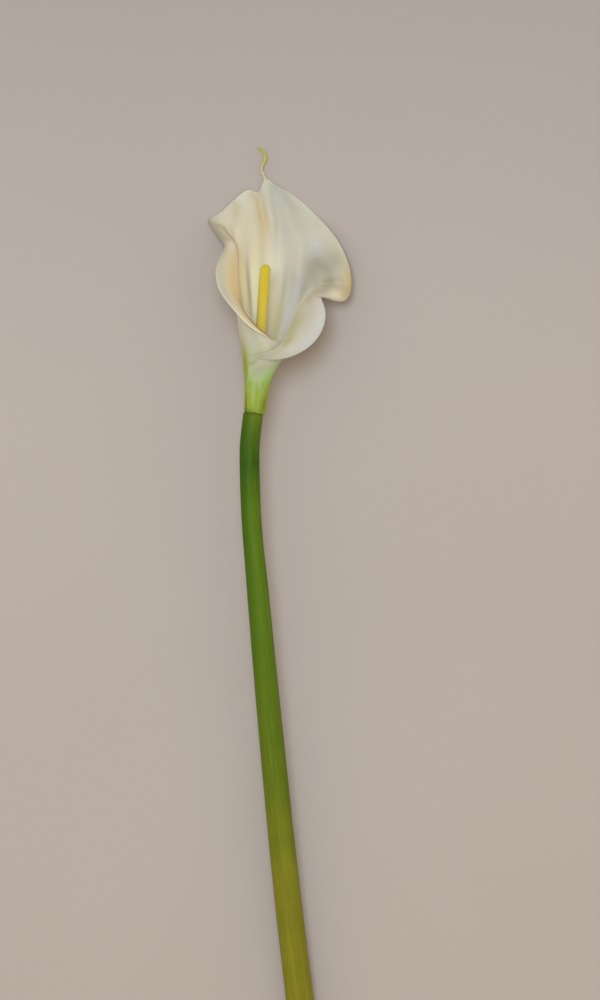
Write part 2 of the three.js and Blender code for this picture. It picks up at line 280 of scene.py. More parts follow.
# %% The folds
FOLDS = [  # from, to, half width, rise (negative is a groove)
    ((1.5, 134), (5.5, 117), 2.4, -1.8),  # groove that runs down from the notch
    ((5.5, 117), (9.5, 95), 3, -1),
    ((8, 134), (11, 112), 2.4, 0.9),  # ridge beside it
    ((16, 132), (26, 104), 4, 1.2),  # long ridge down the right blade
    ((27, 100), (26, 68), 3.6, 2.4),
    ((36, 84), (45, 80), 8, -4),  # hollow of the right blade
    ((39, 76), (52, 77.5), 2.8, -4.5),  # valley above the right curl
    ((-4, 88), (-3, 58), 2, -2.2),  # groove left of the spadix
    ((-9, 122), (-13, 108), 2.6, -1.5),
    ((13, 80), (12, 50), 3, -1.2),
]
FOLD_STATIONS = (6, 8.5, 22, 23.5)  # the folds fade in and out between these stations
FOLD_ROWS = (1.8, 3.2)  # and start between these rows


def fold_rise(x, y):
    """How far the folds lift the blade at a place on it."""
    rise = 0
    for (x0, y0), (x1, y1), width, height in FOLDS:
        run = Vector((x1 - x0, y1 - y0))
        offset = Vector((x - x0, y - y0))
        t = min(max(offset.dot(run) / run.length_squared, 0), 1)
        rise += height * math.exp(-(((offset - run * t).length / width) ** 2))
    return rise


print(len(FOLDS), "folds; the hollow of the right blade:", round(fold_rise(40, 82), 2), "mm")

# %% [markdown]
# ## The surface that the net pulls on
#
# A cubic spline gives each place a blend of the four net points nearest to it. The blend
# changes so smoothly from place to place that the surface has no seam at the net's own
# lines. It is worked out along each column first, and then across the columns. Last, the
# folds move each point of the open blade up or down.

# %% The spline surface


def spline_at(row, place):
    """A point on the cubic spline of a row of points, which carries on straight past its ends."""
    last = len(row) - 1
    start = min(int(place), last - 1)
    t = place - start
    weights = (
        (1 - t) ** 3,
        3 * t**3 - 6 * t**2 + 4,
        -3 * t**3 + 3 * t**2 + 3 * t + 1,
        t**3,
    )
    beyond = [row[0] * 2 - row[1], *row, row[last] * 2 - row[last - 1]]
    return sum((beyond[start + k] * weights[k] / 6 for k in range(4)), Vector((0, 0, 0)))


def blade_point(station, row):
    """A point on the middle of the spathe's wall, in millimetres from the joint."""
    point = spline_at([spline_at(column, row) for column in NET], station)
    share = within(*FOLD_STATIONS, station) * fade(*FOLD_ROWS, row)
    point.z += share * fold_rise(point.x, point.y)
    return point


TIP_STATION = 15
print("tip of the spathe at", [round(c, 1) for c in blade_point(TIP_STATION, ROWS)])

# %% [markdown]
# ## One way to make every skin
#
# The spathe, the stem, the spadix and the tail are all skins with a direction across and a
# direction along. So one helper serves them all: it makes a flat grid with UVs, and moves
# every corner to the place that the piece's own function gives.

# %% A grid that takes any shape


def grid_skin(across, up, place, amounts=()):
    """A bmesh grid whose corners stand where place(u, v) says, with u and v from 0 to 1."""
    bm = bmesh.new()
    bm.loops.layers.uv.new("UVMap")
    for name in amounts:
        bm.verts.layers.float.new(name)
    bmesh.ops.create_grid(bm, x_segments=across, y_segments=up, size=0.5, calc_uvs=True)
    spots = [(vert, vert.co.x + 0.5, vert.co.y + 0.5) for vert in bm.verts]
    for vert, u, v in spots:
        vert.co = in_scene(place(u, v))
    return bm, spots


trial, trial_spots = grid_skin(3, 2, lambda u, v: (u, v, 0))
print("a grid of 3 by 2 faces has", len(trial_spots), "corners")
trial.free()

# %% From a bmesh to a piece


def add_object(name, data):
    """A new object in the scene, at its origin."""
    made = bpy.data.objects.new(name, data)
    bpy.context.collection.objects.link(made)
    return made


def smooth_object(name, bm, materials):
    """A smooth-shaded object from a bmesh."""
    mesh = bpy.data.meshes.new(name)
    for face in bm.faces:
        face.smooth = True
    bm.to_mesh(mesh)
    bm.free()
    for material in materials:
        mesh.materials.append(material)
    print(name, "has", len(mesh.polygons), "faces")
    return add_object(name, mesh)


def make_piece(name, bm, materials):
    """A smooth-shaded piece from a bmesh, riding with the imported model."""
    piece = smooth_object(name, bm, materials)
    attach(piece, "root")
    return piece


# %% [markdown]
# ## Helpers for materials
#
# A material is a little machine of nodes. Writing it out link by link hides the idea, so
# `node` makes a node, sets its settings and joins its sockets in one call: a value is set,
# and a socket from another node is linked. Colours are given as three levels from 0 to 255,
# as they look on a screen, and turned into the linear light that Blender counts in.

# %% Colours


def screen_colour(red, green, blue):
    """A colour as seen on a screen, 0 to 255, as linear light."""

    def linear(level):
        level /= 255
        return level / 12.92 if level <= 0.04045 else ((level + 0.055) / 1.055) ** 2.4

    return (linear(red), linear(green), linear(blue), 1)


print("a middle grey in linear light:", round(screen_colour(128, 128, 128)[0], 3))

# %% Nodes and their sockets


def join_or_set(tree, socket, value):
    """Links an input to another node's output, or sets it to a plain value or a colour."""
    if isinstance(value, bpy.types.NodeSocket):
        tree.links.new(value, socket)
    elif socket.type == "RGBA":
        socket.default_value = screen_colour(*value)
    else:
        socket.default_value = value


def node(tree, kind, settings=None, **sockets):
    """A new shader node with its settings, and its input sockets set or linked."""
    made = tree.nodes.new("ShaderNode" + kind)
    for name, value in (settings or {}).items():
        setattr(made, name, value)
    for name, value in sockets.items():
        join_or_set(tree, made.inputs[name.replace("_", " ")], value)
    return made


TRIAL = bpy.data.node_groups.new("trial", "ShaderNodeTree")  # a tree to try the helpers on
sum_node = node(TRIAL, "Math", {"operation": "ADD"}, Value=2)
print(sum_node.name, "node that does", sum_node.operation, "to", sum_node.inputs[0].default_value)

# %% A material to start from


def new_material(name, **plain):
    """A material with one Principled shader, whose plain values are set on its own sockets."""
    material = bpy.data.materials.new(name)
    material.use_nodes = True
    tree = material.node_tree
    shader = tree.nodes["Principled BSDF"]
    for socket, value in plain.items():
        join_or_set(tree, shader.inputs[socket.replace("_", " ")], value)
    return material, tree, shader


trial, _, trial_shader = new_material("trial", Roughness=0.5)
print("a new material is rough by", trial_shader.inputs["Roughness"].default_value)
bpy.data.materials.remove(trial)

# %% [markdown]
# Most of what a material does is one of four things. It does a sum, it moves a value from
# one range to another, it blends two colours, or it reads a colour off a ramp. `dappled` is
# the one that gives life: it lets a second colour show through wherever a pattern is high.
# `add_relief` lays one bump over another on the shader's normal.

# %% Sums and ranges


def arithmetic(tree, operation, *values):
    """The result of one sum on values that are numbers or sockets."""
    made = node(tree, "Math", {"operation": operation})
    for socket, value in zip(made.inputs, values):
        join_or_set(tree, socket, value)
    return made.outputs[0]


def scaled(tree, value, low, high, to_low=0.0, to_high=1.0, kind="SMOOTHSTEP"):
    """A value moved from one range to another and held at its ends."""
    made = node(
        tree, "MapRange", {"interpolation_type": kind}, Value=value,
        From_Min=low, From_Max=high, To_Min=to_low, To_Max=to_high,
    )
    return made.outputs["Result"]


def evenly(tree, value, low, high):
    """A value moved evenly from one range to 0 to 1."""
    return scaled(tree, value, low, high, kind="LINEAR")


moved = scaled(TRIAL, arithmetic(TRIAL, "MULTIPLY", 2, 3), 0, 10)
print("a product, moved from 0 to 10 into 0 to 1, leaves a node called", moved.node.name)

# %% Blends and ramps
MIX_SHARE, MIX_FIRST, MIX_SECOND = 0, 6, 7  # a Mix node's own numbers for its colour sockets
MIX_RESULT = 2


def blend_colours(tree, share, first, second):
    """The colour between two others, at a share from 0 to 1."""
    made = node(tree, "Mix", {"data_type": "RGBA"})
    for socket, value in ((MIX_SHARE, share), (MIX_FIRST, first), (MIX_SECOND, second)):
        join_or_set(tree, made.inputs[socket], value)
    return made.outputs[MIX_RESULT]


def dappled(tree, colour, pattern, low, high, most, shown):
    """The colour, with another showing through where a pattern is high."""
    return blend_colours(tree, scaled(tree, pattern, low, high, 0, most), colour, shown)


def ramp(tree, value, stops):
    """A colour ramp with a list of (place, colour) stops."""
    made = node(tree, "ValToRGB", Fac=value)
    stop_list = made.color_ramp.elements
    while len(stop_list) < len(stops):
        stop_list.new(0.5)
    for element, (place, colour) in zip(stop_list, stops):
        element.position = place
        element.color = screen_colour(*colour)
    return made.outputs["Color"]


grey_ramp = ramp(TRIAL, moved, [(0, (90, 90, 90)), (0.5, (160, 160, 160)), (1, (240, 240, 240))])
print("stops of a ramp of greys:", len(grey_ramp.node.color_ramp.elements))

# %% Relief


def add_relief(tree, shader, height, strength, depth):
    """A bump of a depth in mm, on top of any bump that the shader has already."""
    bump = node(tree, "Bump", Strength=strength, Distance=depth * MM, Height=height)
    for link in shader.inputs["Normal"].links:
        tree.links.new(link.from_socket, bump.inputs["Normal"])
    tree.links.new(bump.outputs[0], shader.inputs["Normal"])


print("relief is given in mm, so 1 is", MM, "m in the shader")

# %% [markdown]
# A pattern has to know where on the plant it is. There are three ways to tell it: the
# piece's own UVs, which run round it and along it, its place in the scene, and an amount
# that was painted on its corners when it was built.

# %% Ways to know a place on a piece


def uv_part(tree, axis):
    """How far across (X) or along (Y) its grid a point is, from 0 to 1."""
    return node(tree, "SeparateXYZ", Vector=node(tree, "UVMap").outputs[0]).outputs[axis]


def side_of(tree):
    """1 on the left of a round piece, 0 on its top and underneath, and -1 on its right."""
    turn = arithmetic(tree, "MULTIPLY", uv_part(tree, "X"), 2 * math.pi)
    return arithmetic(tree, "COSINE", turn)


def along_flower(tree):
    """How far along the flower a point is, which is its Y in the scene."""
    place = node(tree, "TexCoord").outputs["Object"]
    return node(tree, "SeparateXYZ", Vector=place).outputs["Y"]


def painted_amount(tree, name):
    """An amount that was painted on the corners of the piece."""
    return node(tree, "Attribute", {"attribute_name": name}).outputs["Fac"]


before = len(TRIAL.nodes)
side_of(TRIAL)
print("the side of a round piece is known through", len(TRIAL.nodes) - before, "nodes")
bpy.data.node_groups.remove(TRIAL)

# %% [markdown]
# ## Streaks and mottling, shared by the whole plant
#
# Two effects come back on every part of the plant, so each is a node group that is built
# once. `plant streaks` stretches a noise along the piece's UVs: that gives the veins of the
# spathe and the fine ribs of the stem. `plant mottling` is a soft cloud in object space, for
# the uneven colour that no living thing is without.

# %% A group with its sockets


def new_group(name, inputs, outputs):
    """A shader node group with float or vector inputs and float outputs."""
    group = bpy.data.node_groups.new(name, "ShaderNodeTree")
    for socket, kind in inputs:
        group.interface.new_socket(socket, in_out="INPUT", socket_type=kind)
    for socket in outputs:
        group.interface.new_socket(socket, in_out="OUTPUT", socket_type="NodeSocketFloat")
    return group, group.nodes.new("NodeGroupInput"), group.nodes.new("NodeGroupOutput")


print("node groups before any is made:", len(bpy.data.node_groups))

# %% The streak group


def make_streak_group():
    group, inlet, outlet = new_group(
        "plant streaks",
        [("UV", "NodeSocketVector"), ("Across", "NodeSocketFloat"), ("Along", "NodeSocketFloat")],
        ["Streak", "Fine"],
    )
    stretch = node(group, "CombineXYZ", X=inlet.outputs["Across"], Y=inlet.outputs["Along"])
    place = node(group, "VectorMath", {"operation": "MULTIPLY"})
    group.links.new(inlet.outputs["UV"], place.inputs[0])
    group.links.new(stretch.outputs[0], place.inputs[1])
    broad = node(group, "TexNoise", Vector=place.outputs[0], Scale=1.0, Detail=2.0)
    fine = node(group, "TexNoise", Vector=place.outputs[0], Scale=3.7, Detail=3.0)
    group.links.new(broad.outputs["Fac"], outlet.inputs["Streak"])
    group.links.new(fine.outputs["Fac"], outlet.inputs["Fine"])
    return group


STREAKS = make_streak_group()


def streaks(tree, across, along_it):
    """The streak group, placed in a material with its own counts across and along."""
    made = node(tree, "Group", {"node_tree": STREAKS}, Across=across, Along=along_it)
    tree.links.new(node(tree, "UVMap", {"uv_map": "UVMap"}).outputs[0], made.inputs["UV"])
    return made.outputs


print("node group:", STREAKS.name, "of", len(STREAKS.nodes), "nodes")

# %% The mottling group
GRAIN_TO_CLOUD = 14  # the grain is this many times finer than the cloud


def make_mottle_group():
    group, inlet, outlet = new_group(
        "plant mottling", [("Size", "NodeSocketFloat")], ["Cloud", "Grain"]
    )
    place = node(group, "TexCoord").outputs["Object"]
    cloud = node(group, "TexNoise", Vector=place, Scale=inlet.outputs["Size"], Detail=3.0)
    finer = arithmetic(group, "MULTIPLY", inlet.outputs["Size"], GRAIN_TO_CLOUD)
    grain = node(group, "TexNoise", Vector=place, Scale=finer, Detail=2.0)
    group.links.new(cloud.outputs["Fac"], outlet.inputs["Cloud"])
    group.links.new(grain.outputs["Fac"], outlet.inputs["Grain"])
    return group


MOTTLING = make_mottle_group()


def mottling(tree, size):
    """The mottling group, placed in a material with its own size."""
    return node(tree, "Group", {"node_tree": MOTTLING}, Size=size).outputs


print("node group:", MOTTLING.name, "of", len(MOTTLING.nodes), "nodes")

# %% [markdown]
# ## Colours painted on the spathe
#
# The spathe isn't one white, because light and shade are painted into its colour: painted
# warm shade where the left lobe dips to its crest and in every groove, painted greyish shade
# in the hollow on the right, and painted light where its thin wall is lit from behind. They
# are painted on its corners, each under its own name, so they follow the folds of the leaf.
# A tint is a handful of soft spots, each at a station and row of the net, so that a spot
# moves with the leaf when the net is changed. The material reads the amounts and mixes its
# colours by them.

# %% Painted warm shade and painted light
WARM_SPOTS = {  # station and row of each soft spot, its spread in both, and its strength
    # painted warm shade where the surface turns away from the light
    "honey": [
        (5.1, 5.45, 2, 0.95, 0.85),  # the left lobe, where it dips to its crest
        (4.7, 5.9, 0.7, 0.4, 0.25),
        (2.1, 6.3, 1.1, 0.5, 0.75),  # the rolled rim
    ],
    # painted warm shade in the grooves and valleys, inside the funnel and on margins that face
    # away
    "warm": [
        (2.9, 6.1, 1.2, 0.5, 0.45),  # the rolled rim
        (20.4, 6.8, 0.9, 0.6, 0.8),  # the margin above the right curl
        (20.8, 5.5, 0.5, 0.3, 0.35),  # valley inside the curl
        (12.5, 4.8, 3.2, 1.8, 0.3),  # the back of the funnel
        (13.9, 5.6, 0.6, 1.2, 0.55),
        (14.5, 5, 0.4, 0.5, 0.35),
        (11.4, 6, 0.3, 0.8, 0.3),  # pleat beside the left corner
        (10.7, 4.7, 0.3, 0.4, 0.2),  # beside the left corner's fold
        (6.3, 5.8, 0.6, 0.5, 0.25),  # top of the left lobe
        (13.7, 6.3, 0.4, 0.6, 0.3),  # beside the notch
        (15, 4.7, 0.5, 0.4, 0.2),
        (23.2, 5.8, 0.5, 0.6, 0.35),  # throat side of the right lobe
        (21, 6.3, 0.3, 0.4, 0.35),
    ],
    # the browned point of the left corner, with painted shade along its fold and under the right
    # curl
    "dried_and_shade": [
        (9.3, 7, 0.4, 0.3, 0.7),  # point of the left corner
        (9.25, 6.4, 0.2, 0.35, 0.35),  # and painted shade along the fold that runs down from it
        (9.05, 5.95, 0.2, 0.22, 0.3),
        (7.8, 5.8, 0.4, 0.35, 0.22),
        (11.6, 6.6, 0.3, 0.5, 0.2),  # darker places along the top margin
        (12.9, 6.7, 0.4, 0.5, 0.14),
        (14, 6.8, 0.4, 0.4, 0.22),
        (22.3, 5.8, 0.45, 0.45, 0.3),  # painted shade in the arch under the right curl
        (23, 5.5, 0.5, 0.5, 0.3),
    ],
    # painted light: light through the thin wall, and painted highlights on lit edges and lips
    "glow": [
        (11.0, 3.9, 0.6, 0.8, 1.0),  # light that comes through the left wall
        (12.8, 3.7, 0.7, 0.9, 0.9),
        (14.6, 4.2, 0.6, 0.7, 0.35),
        (16.1, 3.5, 0.8, 0.9, 0.7),
        (17.1, 3, 0.7, 0.5, 0.45),
        (9.3, 5.4, 0.3, 0.35, 0.45),  # edge of the left corner
        (2.5, 7, 1, 0.4, 0.6),  # margin of the rolled rim
        (2.3, 3.9, 0.6, 0.5, 0.9),  # outside of the left flap, beside the lip
        (10, 5.5, 0.35, 0.8, 0.5),  # face of the left corner
        (15.3, 3.5, 0.4, 0.7, 0.5),  # beside the spadix
        (11, 3.6, 0.3, 0.5, 0.5),
        (18.2, 2.8, 0.5, 0.5, 0.5),
        (21.7, 6.5, 0.5, 0.5, 0.5),  # lower lip of the right curl
    ],
}
print("warm tints:", {name: len(spots) for name, spots in WARM_SPOTS.items()})

# %% [markdown]
# These are painted shade and painted highlights in cooler colours. Painted grey shade goes
# into the hollows and grooves and onto the margins that face away, painted olive shade deep
# into the throat, where the leaf is also still a little green, and a painted bluish-white
# highlight onto the two walls that lean towards the sky.

# %% Painted cool shade and highlights
COOL_SPOTS = {
    # painted grey shade in the hollows and grooves and on surfaces that face away from the light
    "grey": [
        (19.2, 4.7, 0.9, 0.9, 0.55),  # hollow of the right blade
        (20.0, 5.4, 1.2, 1.0, 0.7),
        (20.9, 5.5, 0.6, 0.3, 0.4),  # valley inside the curl
        (16.4, 6.2, 1.5, 0.9, 0.6),
        (16.2, 6.8, 0.6, 0.4, 0.3),
        (16.8, 4.9, 0.7, 0.6, 0.3),  # along the long ridge
        (17.7, 5.5, 0.5, 0.5, 0.2),
        (15.9, 4.8, 0.35, 0.7, 0.3),
        (19.5, 6.5, 0.4, 0.4, 0.3),
        (4.5, 6.6, 0.6, 0.3, 0.25),
        (17.25, 3.8, 0.35, 0.45, 0.5),
        (18.6, 4.1, 0.9, 0.25, 0.4),
        (19.5, 4.1, 0.5, 0.3, 0.3),
        (19.7, 6.1, 0.5, 0.4, 0.3),
        (21.9, 5.5, 0.4, 0.5, 0.35),  # the arch between the curl and the right lobe
        (11.9, 3.6, 0.22, 0.55, 0.8),  # groove left of the spadix
        (27.3, 6.2, 1.2, 1.2, 0.8),  # left end of the lip
        (26.7, 3, 1.2, 0.9, 0.6),  # front of the tube
        (5.4, 6.7, 1.6, 0.6, 0.4),  # margin of the left lobe
        (24.2, 5.8, 1, 0.7, 0.35),  # middle of the right lobe
        (3, 3.9, 2, 0.8, 0.5),  # outside of the left flap
    ],
    # painted olive shade, which in the throat and on the tube also holds the leaf's own green
    "olive": [
        (24.6, 5.1, 1.2, 0.5, 0.75),  # foot of the right lobe
        (20.9, 5.5, 0.6, 0.3, 0.3),
        (20.7, 7, 0.7, 0.5, 0.45),  # foot of the right margin
        (17.2, 3, 1.2, 0.6, 0.5),  # deep in the throat
        (11.9, 3.6, 0.2, 0.4, 0.3),
        (2.6, 6.1, 1.4, 0.6, 0.3),
        (5.1, 2.8, 1.0, 0.8, 0.35),
        (27.2, 6.2, 1, 0.6, 0.3),
        (25.6, 5.4, 0.5, 0.4, 0.5),  # where the lip sets out from the right lobe
        (26.3, 5.8, 0.4, 0.3, 0.4),
    ],
    # painted bluish-white highlight on walls that face the light
    "cool": [
        (18.6, 3.35, 0.7, 0.6, 0.6),  # right side of the throat
        (18.7, 5.5, 0.4, 0.4, 0.4),
        (15.3, 3.6, 0.35, 0.6, 0.25),  # beside the spadix
        (18.8, 3.9, 0.6, 0.5, 0.35),
        (16.3, 6.2, 0.8, 0.6, 0.25),
        (16.4, 3.8, 0.5, 0.6, 0.3),
        (25.2, 6.7, 1.6, 0.5, 0.6),  # margin of the right lobe
    ],
}
print("cool tints:", {name: len(spots) for name, spots in COOL_SPOTS.items()})

# %% [markdown]
# The tube is green at its foot, and the green climbs higher on its two sides than at the
# back and in the middle of the front. It isn't an even green either: mossy on both sides of
# the foot and lime on the left. Under the right lobe a pale mint is painted light coming
# through the wall, and at its lower left edge painted shade makes it as deep as the stem.

# %% Greens of the tube
GREEN_TOP = [  # how high the green climbs, in mm, at each station
    (0, 46), (4, 54), (6, 54), (12, 40), (20, 40), (23, 60), (25, 49), (26.5, 38), (28, 46),
]
GREEN_FULL = 0.15  # up to this share of that height the green is full
GREEN_SPOTS = {
    "moss": [
        (4.9, 0.4, 0.9, 0.7, 1.0),  # both sides of the tube's foot
        (24.7, 0.4, 0.8, 0.6, 0.95),
        (27.7, 4, 0.65, 0.45, 0.45),  # under the left end of the lip
    ],
    "foot": [  # lower edge of the tube, painted shade as deep a green as the stem on its left
        (5, 0, 1.2, 0.25, 0.9),
        (27.8, 0, 1.8, 0.25, 0.65),
    ],
    "lime": [
        (5.1, 2.4, 0.8, 0.55, 0.95),  # left side of the tube
    ],
    # painted light coming through the wall under the right lobe
    "mint": [
        (25, 2.25, 0.8, 0.5, 0.65),  # right side of the tube, under the lobe
    ],
}
print("greens:", {name: len(spots) for name, spots in GREEN_SPOTS.items()})

# %% [markdown]
# A dark line runs down the inside of the rolled rim, where the leaf turns over itself and
# little light gets in. It is a line and not a spot, so it has its own table: the row that it
# follows at each station, and how strong it is there. The underside of the left corner is
# shaded for the same reason.

# %% The contour of the rim and the shade under the corner
RIM_LINE = [  # the row that the dark inner contour of the rim follows, at each station
    (1.2, 6.9), (1.5, 6.8), (2, 6.1), (2.5, 5.9), (3, 5.65), (4, 5.05), (5, 4.8), (6, 4.9),
    (7, 5), (8, 5.3), (9.4, 5.5),
]
RIM_LINE_STRENGTH = [
    (1.2, 0.9), (3, 0.95), (4, 0.5), (4.7, 0.1), (6, 0.05), (7.6, 0.45), (9.4, 0.3),
]
RIM_LINE_WIDTH = 0.27
RIM_LINE_ENDS = (0.6, 1.2, 9, 9.8)  # the stations between which it fades in and out
UNDERSIDE_STATIONS = (7.2, 8.2, 8.9, 9.4)  # under the left corner
UNDERSIDE_ROWS = (5, 6)
UNDERSIDE_TINTS = {"warm": 0.3, "grey": 0.55}
print("the contour is strongest at", max(RIM_LINE_STRENGTH, key=lambda entry: entry[1]))

# %% The tints at one corner
TINT_SPOTS = {**WARM_SPOTS, **COOL_SPOTS, **GREEN_SPOTS}
TINT_NAMES = ("green", *TINT_SPOTS, "contour")


def spot_sum(spots, station, row):
    """What a tint's soft spots add up to at one place."""
    return sum(
        strength * math.exp(-(((station - s) / wide) ** 2) - ((row - r) / tall) ** 2)
        for s, r, wide, tall, strength in spots
    )


def tints_at(station, row, height):
    """The amount of each tint on one corner of the spathe, height mm above the joint."""
    amounts = {tint: spot_sum(spots, station, row) for tint, spots in TINT_SPOTS.items()}
    amounts["green"] = 1 - fade(GREEN_FULL, 1, height / along(GREEN_TOP, station))
    under_corner = within(*UNDERSIDE_STATIONS, station) * fade(*UNDERSIDE_ROWS, row)
    for tint, share in UNDERSIDE_TINTS.items():
        amounts[tint] += share * under_corner
    beside = (row - along(RIM_LINE, station)) / RIM_LINE_WIDTH
    strength = within(*RIM_LINE_ENDS, station) * along(RIM_LINE_STRENGTH, station)
    amounts["contour"] = strength * math.exp(-(beside**2))
    return amounts


left_lobe = {name: round(amount, 2) for name, amount in tints_at(5, 5.5, 60).items()}
print("tints of the left lobe:", {name: amount for name, amount in left_lobe.items() if amount})

# %% [markdown]
# ## The waxy white of the spathe
#
# The wall is about a millimetre of wet, waxy tissue. Light goes in, scatters and comes out
# again, so the shader has some subsurface light, warmer than the surface, and a soft, broad
# shine. Over the cream go the painted tints, then the veins: hair-fine lines that run from
# the tube to the margin, slightly deeper in colour and slightly raised.

# %% The colours that the tints stand for
BLADE_TINTS = [  # laid over the cream in this order
    # glow is painted light and cool a painted highlight; honey, warm, grey and contour are
    # painted shade, olive is painted shade with some of the leaf's own green, and the brown tint
    # is browned tips with painted shade
    ("glow", (254, 243, 202)),
    ("honey", (228, 202, 148)),
    ("warm", (210, 184, 132)),
    ("grey", (166, 163, 143)),
    ("olive", (168, 163, 108)),
    ("cool", (212, 214, 220)),
    ("dried_and_shade", (132, 112, 76)),
    ("contour", (122, 104, 54)),
]
GREEN_STOPS = [  # from the upper edge of the green down to its full strength
    (0.1, (178, 186, 138)),
    (0.5, (170, 198, 116)),
    (0.8, (146, 178, 56)),
    (1.0, (158, 177, 52)),
]
TUBE_TINTS = [  # laid over the green in this order
    ("moss", (122, 134, 30)),
    # painted shade at the tube's lower edge
    ("foot", (82, 98, 32)),
    ("lime", (150, 158, 22)),
    # painted light under the right lobe
    ("mint", (170, 208, 122)),
]
print(len(BLADE_TINTS), "tints on the blade and", len(TUBE_TINTS), "on the tube")

# %% From painted amounts to a colour


def painted(tree, colour, tints):
    """The colour with each painted tint laid over it."""
    for name, shown in tints:
        colour = blend_colours(tree, painted_amount(tree, name), colour, shown)
    return colour


def greened(tree, colour):
    """The colour turned green on the tube, where the green fades out with a streaky edge."""
    green = painted_amount(tree, "green")
    stripes = streaks(tree, 46, 5)
    ragged = scaled(tree, stripes["Streak"], 0.3, 0.7, 0.85, 1.15)
    greens = ramp(tree, green, GREEN_STOPS)
    greens = dappled(tree, greens, stripes["Fine"], 0.4, 0.75, 0.4, (112, 138, 30))
    return blend_colours(tree, arithmetic(tree, "MULTIPLY", green, ragged), colour, greens)


print("painted under a name and read by it:", ", ".join(TINT_NAMES))

# %% The spathe's material


def make_spathe_material():
    material, tree, shader = new_material(
        "waxy white spathe",
        Roughness=0.5,
        Specular_IOR_Level=0.25,
        Subsurface_Weight=0.5,
        Subsurface_Radius=(1.0, 0.75, 0.5),
        Subsurface_Scale=0.003,
    )
    shade = mottling(tree, 55)
    patches = scaled(tree, shade["Cloud"], 0.3, 0.7)
    colour = blend_colours(tree, patches, (214, 207, 188), (219, 213, 198))
    # painted light and painted shade laid over the cream
    colour = painted(tree, colour, BLADE_TINTS)
    colour = greened(tree, colour)
    # the tube's greens, with painted light and painted shade among its tints
    colour = painted(tree, colour, TUBE_TINTS)
    veins = streaks(tree, 150, 3.5)
    colour = dappled(tree, colour, veins["Fine"], 0.5, 0.8, 0.2, (186, 184, 140))
    tree.links.new(colour, shader.inputs["Base Color"])
    add_relief(tree, shader, veins["Streak"], 0.25, 0.4)
    add_relief(tree, shader, shade["Grain"], 0.12, 0.3)
    return material


SPATHE_MATERIAL = make_spathe_material()
print(SPATHE_MATERIAL.name, "has", len(SPATHE_MATERIAL.node_tree.nodes), "nodes")

# %% [markdown]
# ## Building the spathe
#
# The grid is laid over the spline surface with six steps between neighbouring net rows. It
# has no thickness yet. A Solidify modifier gives the wall its 1.2 mm, a little less towards
# the margin, and a Subdivision Surface rounds the edge, so that the margin catches light as
# a real one does.

# %% The leaf without its thickness
SHEET = {"thickness": 1.2, "rim": 0.9}
SHEET_STEPS = 6
TABLE_LEVEL = -JOINT.z / MM
DROOP = {"all round": 0.5, "to the right": 0.2, "rows": 0.6}  # of the edge over the stem


def leaf_place(u, v):
    """The place of one corner of the leaf, in millimetres from the joint."""
    point = blade_point(u * COLUMNS, v * ROWS)
    # the lower edge droops a little over the stem, most of all on the right
    droop = DROOP["all round"] + DROOP["to the right"] * max(point.x, 0)
    point.y -= droop * (1 - fade(0, DROOP["rows"], v * ROWS))
    # pressed flat where it rests on the table
    point.z = max(point.z, TABLE_LEVEL + SHEET["thickness"] / 2)
    return point


def make_leaf():
    """The leaf with its painted tints, and how sturdy its wall is at each corner."""
    bm, spots = grid_skin(COLUMNS * SHEET_STEPS, ROWS * SHEET_STEPS, leaf_place, TINT_NAMES)
    sturdy = []
    for vert, u, v in spots:
        height = (vert.co.y - JOINT.y) / MM
        for name, amount in tints_at(u * COLUMNS, v * ROWS, height).items():
            vert[bm.verts.layers.float[name]] = amount
        sturdy.append(1 - fade(ROWS - 2, ROWS, v * ROWS))
    return make_piece("spathe_leaf", bm, [SPATHE_MATERIAL]), sturdy


spathe, sturdy_corners = make_leaf()
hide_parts("spathe")
print("corners of the leaf, each painted:", len(sturdy_corners))

# %% Its wall and its rounded edge


def add_wall(piece, sturdy):
    """A wall that thins towards the margin, with its edges rounded."""
    wall = piece.vertex_groups.new(name="wall")
    for index, share in enumerate(sturdy):
        wall.add([index], share, "REPLACE")
    solid = piece.modifiers.new("wall", "SOLIDIFY")
    solid.thickness = SHEET["thickness"] * MM
    solid.offset = 0
    solid.vertex_group = "wall"
    solid.thickness_vertex_group = SHEET["rim"] / SHEET["thickness"]
    smooth = piece.modifiers.new("round", "SUBSURF")
    smooth.levels = 1
    smooth.render_levels = 1


add_wall(spathe, sturdy_corners)
print("wall:", SHEET["thickness"], "mm, and", SHEET["rim"], "mm at the margin")

# %% [markdown]
# ## The tail on the tip
#
# A calla's midrib runs on past the tip as a thin curly tail. It is pale cream where it leaves
# the blade and turns yellow-green as it dries. A smooth path through seven points gives its
# line, and its radius swells and thins along it.

# %% The line of the tail
TAIL = [  # place and radius
    ((6.3, 136, -29.4), 0.9), ((6.3, 141.4, -29.2), 0.85), ((4.5, 145.8, -28.2), 0.7),
    ((5.2, 149.4, -27.3), 0.75), ((6.8, 153, -26.8), 0.8), ((5.2, 157.2, -26.4), 0.7),
    ((1.7, 160, -26.2), 0.45),
]


def tail_point(t):
    """A place on the smooth path through the tail's points, with t from 0 to 1."""
    spot = t * (len(TAIL) - 1)
    i = min(int(spot), len(TAIL) - 2)
    t = spot - i
    points = [Vector(place) for place, _ in TAIL]
    before = points[i - 1] if i > 0 else points[0] * 2 - points[1]
    after = points[i + 2] if i + 2 < len(points) else points[-1] * 2 - points[-2]
    start, end = points[i], points[i + 1]
    return 0.5 * (
        2 * start + (end - before) * t
        + (2 * before - 5 * start + 4 * end - after) * t**2
        + (3 * start - before - 3 * end + after) * t**3
    )


print("half way along the tail:", [round(c, 1) for c in tail_point(0.5)])

# %% The tail's material


